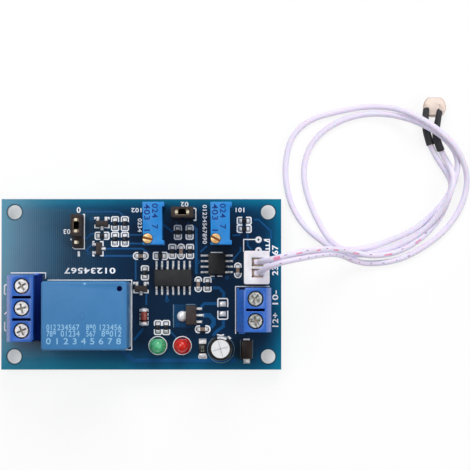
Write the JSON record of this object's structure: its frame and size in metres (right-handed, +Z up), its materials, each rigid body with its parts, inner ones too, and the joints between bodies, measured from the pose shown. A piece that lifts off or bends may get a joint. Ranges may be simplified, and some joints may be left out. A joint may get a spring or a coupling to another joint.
{
  "type": "light sensor module",
  "caption": "Light-switch circuit board with a relay, screw terminals, trimmers, jumpers and a plug-in light sensor on two loose wires.",
  "frame": {"origin": "under the middle of the board, on the surface that its soldered leads stand on", "axes": "+X along the board from the three-way output terminal to the power terminal and sensor plug, +Y across it towards the trimmers, +Z up"},
  "size_m": [0.1076, 0.0625, 0.0193],
  "materials": {
    "board_blue": "dark blue solder mask over glass-fibre board",
    "solder": "bright solder",
    "relay_blue": "smooth moulded blue plastic",
    "black_plastic": "matt black moulding",
    "tinned_pin": "tin-plated",
    "terminal_blue": "satin blue polyamide",
    "brass": "plain brass",
    "trimmer_blue": "satin blue moulding",
    "gold_strip": "thin gold plating",
    "white_nylon": "natural white nylon",
    "wire_sheath": "pale lavender PVC with faint red marks",
    "black_sleeve": "shrunk black sleeve",
    "sensor_coat": "cream ceramic under a clear coat",
    "chip_black": "black epoxy",
    "diode_glass": "red-brown glass",
    "green_lens": "diffused green lens",
    "red_lens": "diffused red lens",
    "can_aluminium": "drawn aluminium",
    "resistor_black": "black glaze over ceramic",
    "capacitor_beige": "fired ceramic",
    "plated_steel": "zinc-plated steel"
  },
  "bodies": {
    "board": {"circuit_board": "board_blue", "solder_joints": "solder", "relay_case": "relay_blue", "relay_base": "black_plastic", "relay_pins": "tinned_pin", "output_terminal_housing": "terminal_blue", "output_terminal_contacts": "brass", "power_terminal_housing": "terminal_blue", "power_terminal_contacts": "brass", "time_trimmer_housing": "trimmer_blue", "sensitivity_trimmer_housing": "trimmer_blue", "trimmer_pins": "tinned_pin", "mode_header_base": "black_plastic", "delay_header_base": "black_plastic", "header_pins": "gold_strip", "sensor_header_shroud": "white_nylon", "sensor_header_pins": "tinned_pin", "sensor_plug_housing": "white_nylon", "sensor_plug_contacts": "tinned_pin", "sensor_wire_a": "wire_sheath", "sensor_wire_b": "wire_sheath", "sensor_sleeves": "black_sleeve", "light_sensor_disc": "sensor_coat", "light_sensor_legs": "tinned_pin", "timer_chip_body": "chip_black", "timer_chip_leads": "tinned_pin", "comparator_chip_body": "chip_black", "comparator_chip_leads": "tinned_pin", "regulator_body": "chip_black", "regulator_leads": "tinned_pin", "transistor_bodies": "chip_black", "transistor_leads": "tinned_pin", "clamp_diode_glass": "diode_glass", "input_diode_body": "chip_black", "input_diode_leads": "tinned_pin", "green_led_lens": "green_lens", "red_led_lens": "red_lens", "led_and_capacitor_leads": "tinned_pin", "capacitor_can": "can_aluminium", "capacitor_sleeve": "black_sleeve", "chip_resistor_bodies": "resistor_black", "chip_capacitor_bodies": "capacitor_beige", "chip_end_caps": "solder"},
    "output_pad_1": {"output_terminal_pad_1": "plated_steel"},
    "output_screw_1": {"output_terminal_screw_1": "plated_steel"},
    "output_pad_2": {"output_terminal_pad_2": "plated_steel"},
    "output_screw_2": {"output_terminal_screw_2": "plated_steel"},
    "output_pad_3": {"output_terminal_pad_3": "plated_steel"},
    "output_screw_3": {"output_terminal_screw_3": "plated_steel"},
    "power_pad_1": {"power_terminal_pad_1": "plated_steel"},
    "power_screw_1": {"power_terminal_screw_1": "plated_steel"},
    "power_pad_2": {"power_terminal_pad_2": "plated_steel"},
    "power_screw_2": {"power_terminal_screw_2": "plated_steel"},
    "time_adjuster": {"time_trimmer_screw": "brass"},
    "sensitivity_adjuster": {"sensitivity_trimmer_screw": "brass"},
    "mode_jumper": {"mode_jumper_cap": "black_plastic", "mode_jumper_clip": "gold_strip"},
    "delay_jumper": {"delay_jumper_cap": "black_plastic", "delay_jumper_clip": "gold_strip"}
  },
  "joints": [
    {"name": "output_pad_1_travel", "type": "slide", "parent": "board", "child": "output_pad_1", "axis": [0, 0, 1], "range_m": [-0.00225, 0]},
    {"name": "output_screw_1_turn", "type": "hinge", "parent": "output_pad_1", "child": "output_screw_1", "pos_m": [-0.02645, -0.00042, 0.0136], "axis": [0, 0, 1], "range_deg": [-1800, 0]},
    {"name": "output_pad_2_travel", "type": "slide", "parent": "board", "child": "output_pad_2", "axis": [0, 0, 1], "range_m": [-0.00225, 0]},
    {"name": "output_screw_2_turn", "type": "hinge", "parent": "output_pad_2", "child": "output_screw_2", "pos_m": [-0.02645, -0.00542, 0.0136], "axis": [0, 0, 1], "range_deg": [-1800, 0]},
    {"name": "output_pad_3_travel", "type": "slide", "parent": "board", "child": "output_pad_3", "axis": [0, 0, 1], "range_m": [-0.00225, 0]},
    {"name": "output_screw_3_turn", "type": "hinge", "parent": "output_pad_3", "child": "output_screw_3", "pos_m": [-0.02645, -0.01042, 0.0136], "axis": [0, 0, 1], "range_deg": [-1800, 0]},
    {"name": "power_pad_1_travel", "type": "slide", "parent": "board", "child": "power_pad_1", "axis": [0, 0, 1], "range_m": [-0.00225, 0]},
    {"name": "power_screw_1_turn", "type": "hinge", "parent": "power_pad_1", "child": "power_screw_1", "pos_m": [0.026, -0.00828, 0.0136], "axis": [0, 0, 1], "range_deg": [-1800, 0]},
    {"name": "power_pad_2_travel", "type": "slide", "parent": "board", "child": "power_pad_2", "axis": [0, 0, 1], "range_m": [-0.00225, 0]},
    {"name": "power_screw_2_turn", "type": "hinge", "parent": "power_pad_2", "child": "power_screw_2", "pos_m": [0.026, -0.00328, 0.0136], "axis": [0, 0, 1], "range_deg": [-1800, 0]},
    {"name": "time_adjuster_turn", "type": "hinge", "parent": "board", "child": "time_adjuster", "pos_m": [0.0018, 0.01025, 0.0136], "axis": [0, 0, 1], "continuous": true},
    {"name": "sensitivity_adjuster_turn", "type": "hinge", "parent": "board", "child": "sensitivity_adjuster", "pos_m": [0.01705, 0.01025, 0.0136], "axis": [0, 0, 1], "continuous": true},
    {"name": "mode_jumper_lift", "type": "slide", "parent": "board", "child": "mode_jumper", "axis": [0, 0, 1], "range_m": [0, 0.0065]},
    {"name": "delay_jumper_lift", "type": "slide", "parent": "board", "child": "delay_jumper", "axis": [0, 0, 1], "range_m": [0, 0.0065]}
  ],
  "couplings": [
    {"joint": "output_screw_1_turn", "follows": "output_pad_1_travel", "rad_per_m": 13963},
    {"joint": "output_screw_2_turn", "follows": "output_pad_2_travel", "rad_per_m": 13963},
    {"joint": "output_screw_3_turn", "follows": "output_pad_3_travel", "rad_per_m": 13963},
    {"joint": "power_screw_1_turn", "follows": "power_pad_1_travel", "rad_per_m": 13963},
    {"joint": "power_screw_2_turn", "follows": "power_pad_2_travel", "rad_per_m": 13963}
  ]
}
